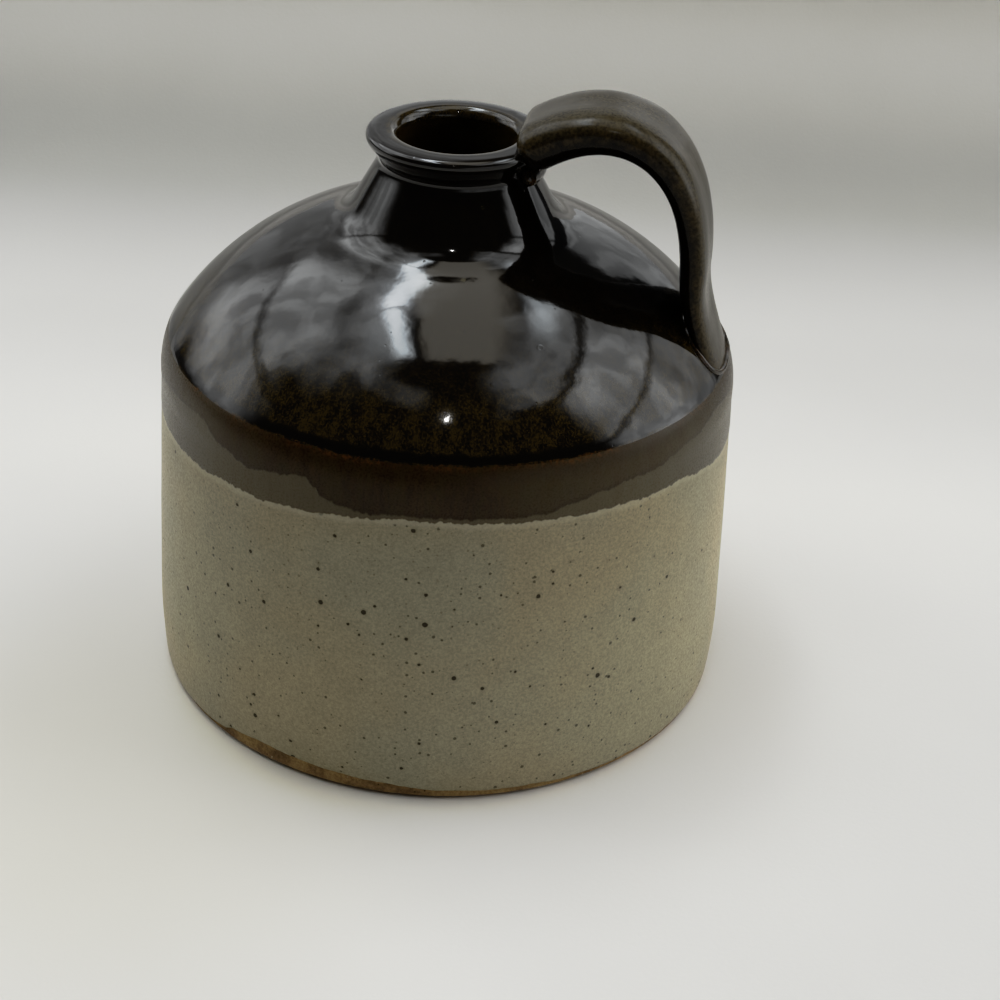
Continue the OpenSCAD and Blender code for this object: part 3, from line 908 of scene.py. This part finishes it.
class JUG_OT_dark_coat(bpy.types.Operator):
    """Turn the dark coat from its ragged dip line over dome, neck and lip into the throat"""

    bl_idname = "jug.dark_coat"
    bl_label = "Dark Coat"

    def execute(self, context):
        shape, look = context.scene.jug_shape, context.scene.glaze_look
        low, tuck_h, wall_step, upper_step = 59.4 * MM, 1.0 * MM, 0.42 * MM, 0.85 * MM
        points = wall_points(shape, low, shape.wall_top_z, wall_step)[:-1] + upper_points(shape, upper_step)
        bm = turned(softened(points, 2), look.sides)
        above_edge = note_heights(bm)
        for vert in bm.verts:
            co = vert.co
            normal = vert.normal if vert.normal.length > 0.5 else co.to_2d().normalized().to_3d()
            # Tucked under the pale coat below its edge, and a tenth of a millimetre proud above it
            over = clamp((vert[above_edge] + 0.9) / 1.5)
            tuck = clamp((low + tuck_h - co.z) / tuck_h)
            calm = clamp((shape.neck_foot_z + 2 * MM - co.z) / (8 * MM), 0.35, 1)
            wave = hand_wave(co, look.ring_wave) * calm
            lift = 0.02 * MM + 0.07 * MM * eased(over) - 0.14 * MM * tuck
            co += normal * (lift - wave)
        # The dome wears the second finish
        for face in bm.faces:
            face.material_index = int(face.calc_center_median().z > shape.ridge_z - 0.1 * MM)
        finishes = [band_glaze_material(shape), dome_glaze_material(shape)]
        placed(smooth_mesh(bm, "dark_coat"), finishes, ["brown_glaze"])
        return {"FINISHED"}


class JUG_OT_strap(bpy.types.Operator):
    """Pull the strap from the lip over its crown and down to the shoulder"""

    bl_idname = "jug.strap"
    bl_label = "Strap"

    def execute(self, context):
        way, sides = StrapWay(context.scene.jug_shape, context.scene.strap_shape), 72
        bm = bmesh.new()
        thin, outer, tail = (bm.verts.layers.float.new(name) for name in ("thin", "outer", "tail"))
        ring = bmesh.ops.create_circle(bm, cap_ends=False, radius=1.0, segments=sides)["verts"]
        edges = list(bm.edges)
        for number, u in enumerate(way.places()):
            if number:
                edges, ring = self.next_ring(bm, edges, ring)
            middle = way.centre(u)
            for vert, (co, across, flat) in zip(ring, way.section(u, sides)):
                vert[thin] = clamp((abs(across) - 0.72) / 0.2) * clamp((flat + 0.25) / 0.3)
                vert[tail] = clamp((u - 1.5) / 0.35) * clamp(0.6 + noise.noise(co * 160) * 1.3)
                vert[outer] = clamp(flat * 1.4)
                # The skin lies a little inside the part's strap, and is faintly lumpy
                lump = noise.noise(co * 90) * 0.16 + noise.noise(co * 260) * 0.05
                inwards = (Vector((middle.x, co.y * 0.6, middle.y)) - co).normalized()
                vert.co = co + inwards * (0.12 + lump) * MM * way.fullness(u)
        bmesh.ops.holes_fill(bm, edges=[e for e in bm.edges if e.is_boundary], sides=0)
        bmesh.ops.recalc_face_normals(bm, faces=bm.faces)
        placed(smooth_mesh(bm, "strap_skin"), [strap_glaze_material()], ["strap_handle"])
        return {"FINISHED"}

    def next_ring(self, bm, edges, ring):
        """Grows the open end by one ring. Gives its edges, and its points in the order of the last ring's."""
        grown = bmesh.ops.extrude_edge_only(bm, edges=edges)["geom"]
        fresh = {v for v in grown if isinstance(v, bmesh.types.BMVert)}
        partner = {}
        for vert in fresh:
            for other in (edge.other_vert(vert) for edge in vert.link_edges):
                if other not in fresh:
                    partner[other] = vert
        edges = [e for e in grown if isinstance(e, bmesh.types.BMEdge) and fresh.issuperset(e.verts)]
        return edges, [partner[vert] for vert in ring]


class JUG_OT_joints(bpy.types.Operator):
    """Lay the bead of slip round the strap's tail and finish the wad under its root"""

    bl_idname = "jug.joints"
    bl_label = "Bead and Wad"

    def execute(self, context):
        shape, strap = context.scene.jug_shape, context.scene.strap_shape
        material = joint_glaze_material()
        finish_node("upper_wad", material)
        line = self.seam(shape, StrapWay(shape, strap))
        for _ in range(3):
            count = len(line)
            line = [line[i] * 0.5 + (line[i - 1] + line[(i + 1) % count]) * 0.25 for i in range(count)]
        curve = bpy.data.curves.new("bead_line", "CURVE")
        curve.dimensions = "3D"
        curve.bevel_depth, curve.bevel_resolution, curve.resolution_u = strap.bead_r, 3, 4
        spline = curve.splines.new("NURBS")
        spline.points.add(len(line) - 1)
        for point, co in zip(spline.points, line):
            point.co = (*co, 1.0)
            point.radius = 1 + 0.22 * noise.noise(co * 330)
        spline.use_cyclic_u = True
        spline.order_u = 3
        guide = linked("bead_line", curve)
        context.view_layer.update()
        mesh = bpy.data.meshes.new_from_object(guide.evaluated_get(context.evaluated_depsgraph_get()))
        bpy.data.objects.remove(guide)
        mesh.name = "tail_bead_skin"
        mesh.shade_smooth()
        placed(mesh, [material], ["tail_bead"])
        return {"FINISHED"}

    def seam(self, shape, way, start=1.05, steps=160, sides=120):
        """Where each line along the strap's skin goes through the glazed outline, seen from the tail's end."""
        low, fine = 40 * MM, 0.5 * MM
        wall = wall_points(shape, low, shape.wall_top_z, fine)[:-1] + upper_points(shape, fine)
        wall = [p for p in wall if p.y < shape.dome_top_z]

        def proud(co):
            for a, b in zip(wall, wall[1:]):
                if a.y <= co.z <= b.y:
                    return co.to_2d().length - mix(a.x, b.x, (co.z - a.y) / (b.y - a.y))
            return 1.0

        rings = [[co for co, _, _ in way.section(mix(start, 2.0, i / steps), sides)] for i in range(steps + 1)]
        line = []
        for k in range(sides):
            for i in range(steps, 0, -1):
                inner, outer = proud(rings[i][k]), proud(rings[i - 1][k])
                if inner <= 0 < outer:
                    line.append(rings[i][k].lerp(rings[i - 1][k], inner / (inner - outer)))
                    break
        if len(line) < sides // 2:
            raise RuntimeError("the strap's tail doesn't meet the shoulder")
        return line


# ------------ The studio

# The soft lights all round. Azimuths go from the camera's side towards +X, each edge with how softly it ends
ZONES = [
    # left, soft, right, soft; low, soft, high, soft; brightness
    (85, 14, 139, 3, -2, 12, 28.5, 3, 0.95),
    (83, 16, 120, 14, 2, 14, 28.5, 3, 1.50),
    (84, 14, 139, 3, 30.5, 3, 51, 3, 1.35),
    (80, 16, 124, 10, 30.5, 3, 51, 3, 1.15),
    (74, 12, 108, 24, 39, 8, 51, 3, 0.75),
    (50, 34, 142, 10, 54, 3, 72, 10, 1.45),
    (18, 24, 84, 20, -14, 10, 17, 8, 0.60),
    (-137, 16, -84, 24, 34, 4, 57, 8, 2.40),
    (-128, 14, -80, 26, 10, 14, 32, 3, 1.90),
    (-94, 20, -62, 12, 45, 8, 60, 6, 0.55),
    (-75, 20, -6, 12, 60, 4, 67, 5, 0.50),
    (-150, 30, -56, 44, 52, 12, 76, 8, 0.60),
    (-136, 20, -46, 24, 62, 8, 76, 6, 1.0),
    (-240, 10, -124, 6, -12, 8, 36, 6, 0.50),
    (155, 2, 240, 10, -12, 8, 32, 4, 0.80),
    (-172, 12, -120, 20, 36, 6, 68, 10, 0.50),
]
COOL, WARM, WHITE = (0.88, 0.95, 1.0), (1.0, 0.95, 0.84), (1.0, 0.995, 0.98)
# Place from the dome's middle, turn, width, depth, soft edges (left, right, near, far), brightness, tone
PANELS = {
    "overhead_near": ((-0.238, -0.035, 0.95), 15, 0.15, 0.44, (0.45, 0.35, 0.15, 0.10), 9.0, COOL),
    "overhead_far": ((-0.245, 0.330, 0.95), -12, 0.18, 0.48, (0.35, 0.35, 0.10, 0.15), 9.5, COOL),
    "overhead_glow": ((-0.340, 0.12, 0.97), 2, 0.26, 0.90, (0.60, 0.30, 0.25, 0.20), 1.5, COOL),
    "overhead_middle": ((0.055, 0.205, 0.96), 14, 0.50, 0.80, (0.10, 0.35, 0.05, 0.10), 1.55, WARM),
    "overhead_right": ((0.340, 0.43, 0.95), 21, 0.27, 0.78, (0.50, 0.50, 0.40, 0.45), 4.6, COOL),
}
# A toe that keeps the dark glaze deep: tone in the render and tone shown
TONES = [
    (0.010, 0.0034), (0.030, 0.018), (0.070, 0.056), (0.16, 0.140), (0.28, 0.287), (0.38, 0.445), (0.48, 0.545),
    (0.60, 0.640), (0.76, 0.760),
]
CAMERA_PLACE = (0.06565, -0.3723, 0.26478)


class JUG_OT_studio(bpy.types.Operator):
    """Lay the paper floor and its card, hang the lights and set up the camera"""

    bl_idname = "jug.studio"
    bl_label = "Studio"

    def execute(self, context):
        scene, studio = context.scene, context.scene.studio_look
        self.paper(studio)
        self.lights(studio)
        self.camera(scene, studio)
        scene.world = self.room(studio)
        scene.view_settings.view_transform = "Standard"
        scene.view_settings.use_curve_mapping = True
        tones = scene.view_settings.curve_mapping
        for dark, shown in TONES:
            tones.curves[3].points.new(dark, shown)
        tones.update()
        return {"FINISHED"}

    def camera(self, scene, studio):
        camera = bpy.data.cameras.new("camera")
        camera.lens, camera.sensor_width = studio.lens, 36.0
        camera.clip_start, camera.clip_end = 0.01, 20.0
        heading, pitch, roll = studio.heading, studio.pitch, studio.roll
        level = Vector((math.sin(heading), math.cos(heading), 0)) * math.cos(pitch)
        ahead = level - Vector((0, 0, math.sin(pitch)))
        right = Vector((math.cos(heading), -math.sin(heading), 0))
        up = right.cross(ahead)
        side = right * math.cos(roll) + up * math.sin(roll)
        top = up * math.cos(roll) - right * math.sin(roll)
        turn = Matrix((side, top, -ahead)).transposed().to_4x4()
        view = linked("camera", camera)
        view.matrix_world = Matrix.Translation(CAMERA_PLACE) @ turn
        scene.camera = view

    def paper(self, studio):
        """A wide floor, and a card that curves up from it behind the jug, square to the camera's heading."""
        wide, under = 1.8, -0.1 * MM
        bend, foot, height, left, right = 0.11, 0.165, 0.118, -0.30, 0.265
        path = [(foot - 0.02, 0.0), (foot, 0.0)]
        for turn in (math.radians(a) for a in range(5, 91, 5)):
            path.append((foot + bend * math.sin(turn), bend * (1 - math.cos(turn))))
        path.append((foot + bend, height))
        material = paper_material()
        self.sheet("paper_floor", [(-wide, under), (wide, under)], -wide, wide, studio.heading, material)
        self.sheet("paper_card", path, left, right, studio.heading, material)

    def sheet(self, name, path, left, right, heading, material):
        bm = bmesh.new()
        verts = [bm.verts.new((left, y, z)) for y, z in path]
        edges = [bm.edges.new(pair) for pair in zip(verts, verts[1:])]
        grown = bmesh.ops.extrude_edge_only(bm, edges=edges)["geom"]
        far = [v for v in grown if isinstance(v, bmesh.types.BMVert)]
        bmesh.ops.translate(bm, verts=far, vec=(right - left, 0, 0))
        bmesh.ops.rotate(bm, verts=bm.verts, cent=(0, 0, 0), matrix=Matrix.Rotation(-heading, 3, "Z"))
        bmesh.ops.recalc_face_normals(bm, faces=bm.faces)
        if min(bm.faces, key=lambda face: face.calc_center_median().z).normal.z < 0:
            bmesh.ops.reverse_faces(bm, faces=bm.faces)
        sheet = linked(name, smooth_mesh(bm, name))
        sheet.data.materials.append(material)

    def room(self, studio):
        """The soft light that comes from all round. The camera sees one plain tone instead of it."""
        world = bpy.data.worlds.new("studio_room")
        world.use_nodes = True
        tree = world.node_tree
        looked = source(tree, "ShaderNodeTexCoord", "Generated")
        x, y, z = (node("ShaderNodeSeparateXYZ", {0: looked}, axis) for axis in range(3))
        azimuth = calc("DEGREES", calc("ARCTAN2", x, y * -1.0))
        rise = calc("DEGREES", calc("ARCSINE", z))
        glow = 0.0
        for left, left_soft, right, right_soft, low, low_soft, high, high_soft, bright in ZONES:
            zone = bright * studio.sides
            for seen, mark, half_soft in (
                (azimuth, left, left_soft / 2), (azimuth, right, -right_soft / 2),
                (rise, low, low_soft / 2), (rise, high, -high_soft / 2),
            ):
                zone = between(seen, mark - half_soft, mark + half_soft) * zone
            glow = zone + glow
        # The light is a little uneven, as from folded cloths
        folds = between(cloud(stretched(looked, z=0.7), 6.5, 3.0, 0.5, 0.9), 0.36, 0.64, 0.72, 1.28)
        direct = source(tree, "ShaderNodeLightPath", "Is Camera Ray")
        shown = {0: direct, 2: glow * folds + studio.room, 3: studio.beyond}
        feed(tree.nodes["Background"], {
            0: (0.955, 0.975, 0.985, 1.0), 1: node("ShaderNodeMix", shown, data_type="FLOAT"),
        })
        return world

    def lights(self, studio):
        """Soft panels over the jug and one small bright lamp in front."""
        target = Vector((0, 0, 0.085))
        for name, (place, turn, width, depth, soft, bright, tone) in PANELS.items():
            turned_by = (0, 0, math.radians(turn))
            bright *= studio.overhead
            self.panel(name, target + Vector(place), turned_by, width, depth, bright, tone, soft)
        az, el, away, size, bright = math.radians(9), math.radians(53), 0.62, 0.010, 220.0
        toward = Vector((math.sin(az) * math.cos(el), -math.cos(az) * math.cos(el), math.sin(el)))
        aim = toward.to_track_quat("Z", "Y").to_euler()
        self.panel("front_spark", target + toward * away, aim, size, size, bright, WHITE)

    def panel(self, name, place, turn, width, depth, bright, tone, soft=None):
        """A flat lamp. With soft it fades over that share of itself at its left, right, near and far edge."""
        light = bpy.data.lights.new(name, "AREA")
        light.shape, light.size, light.size_y = "RECTANGLE", width, depth
        light.energy, light.color = bright * math.pi * width * depth, tone
        if soft:
            light.use_nodes = True
            spot = source(light.node_tree, "ShaderNodeNewGeometry", "Parametric")
            across, along = (node("ShaderNodeSeparateXYZ", {0: spot}, axis) for axis in range(2))
            left, right, near, far = soft
            level = 1.0
            for way, start, end in (
                (across, 0.0, left), (across, 1.0, 1 - right), (along, 0.0, near), (along, 1.0, 1 - far)
            ):
                level = between(way, start, end) * level
            feed(light.node_tree.nodes["Emission"], {"Strength": level})
        lamp = linked(name, light)
        lamp.location, lamp.rotation_euler = place, turn


# ------------ Sidebar, registration and the run

STEPS = (JUG_OT_clay, JUG_OT_pale_coat, JUG_OT_dark_coat, JUG_OT_strap, JUG_OT_joints, JUG_OT_studio)
GROUPS = {
    "jug_shape": JugShape, "strap_shape": StrapShape, "glaze_look": GlazeLook, "studio_look": StudioLook,
}


class JUG_PT_panel(bpy.types.Panel):
    """Sizes, colours and steps of the jug"""

    bl_label = "Stoneware Jug"
    bl_idname = "JUG_PT_panel"
    bl_space_type = "VIEW_3D"
    bl_region_type = "UI"
    bl_category = "Jug"

    def draw(self, context):
        for group, label in zip(GROUPS, ("Shape", "Strap", "Glaze", "Studio")):
            box = self.layout.box()
            box.label(text=label)
            settings = getattr(context.scene, group)
            for name in settings.__annotations__:
                box.prop(settings, name)
        for step in STEPS:
            self.layout.operator(step.bl_idname)


def register():
    for kind in (*GROUPS.values(), *STEPS, JUG_PT_panel):
        bpy.utils.register_class(kind)
    for name, kind in GROUPS.items():
        setattr(bpy.types.Scene, name, PointerProperty(type=kind))


def unregister():
    for name in GROUPS:
        delattr(bpy.types.Scene, name)
    for kind in reversed((*GROUPS.values(), *STEPS, JUG_PT_panel)):
        bpy.utils.unregister_class(kind)


def main():
    register()
    bpy.ops.jug.clay()
    bpy.ops.jug.pale_coat()
    bpy.ops.jug.dark_coat()
    bpy.ops.jug.strap()
    bpy.ops.jug.joints()
    bpy.ops.jug.studio()


if __name__ == "__main__":
    main()
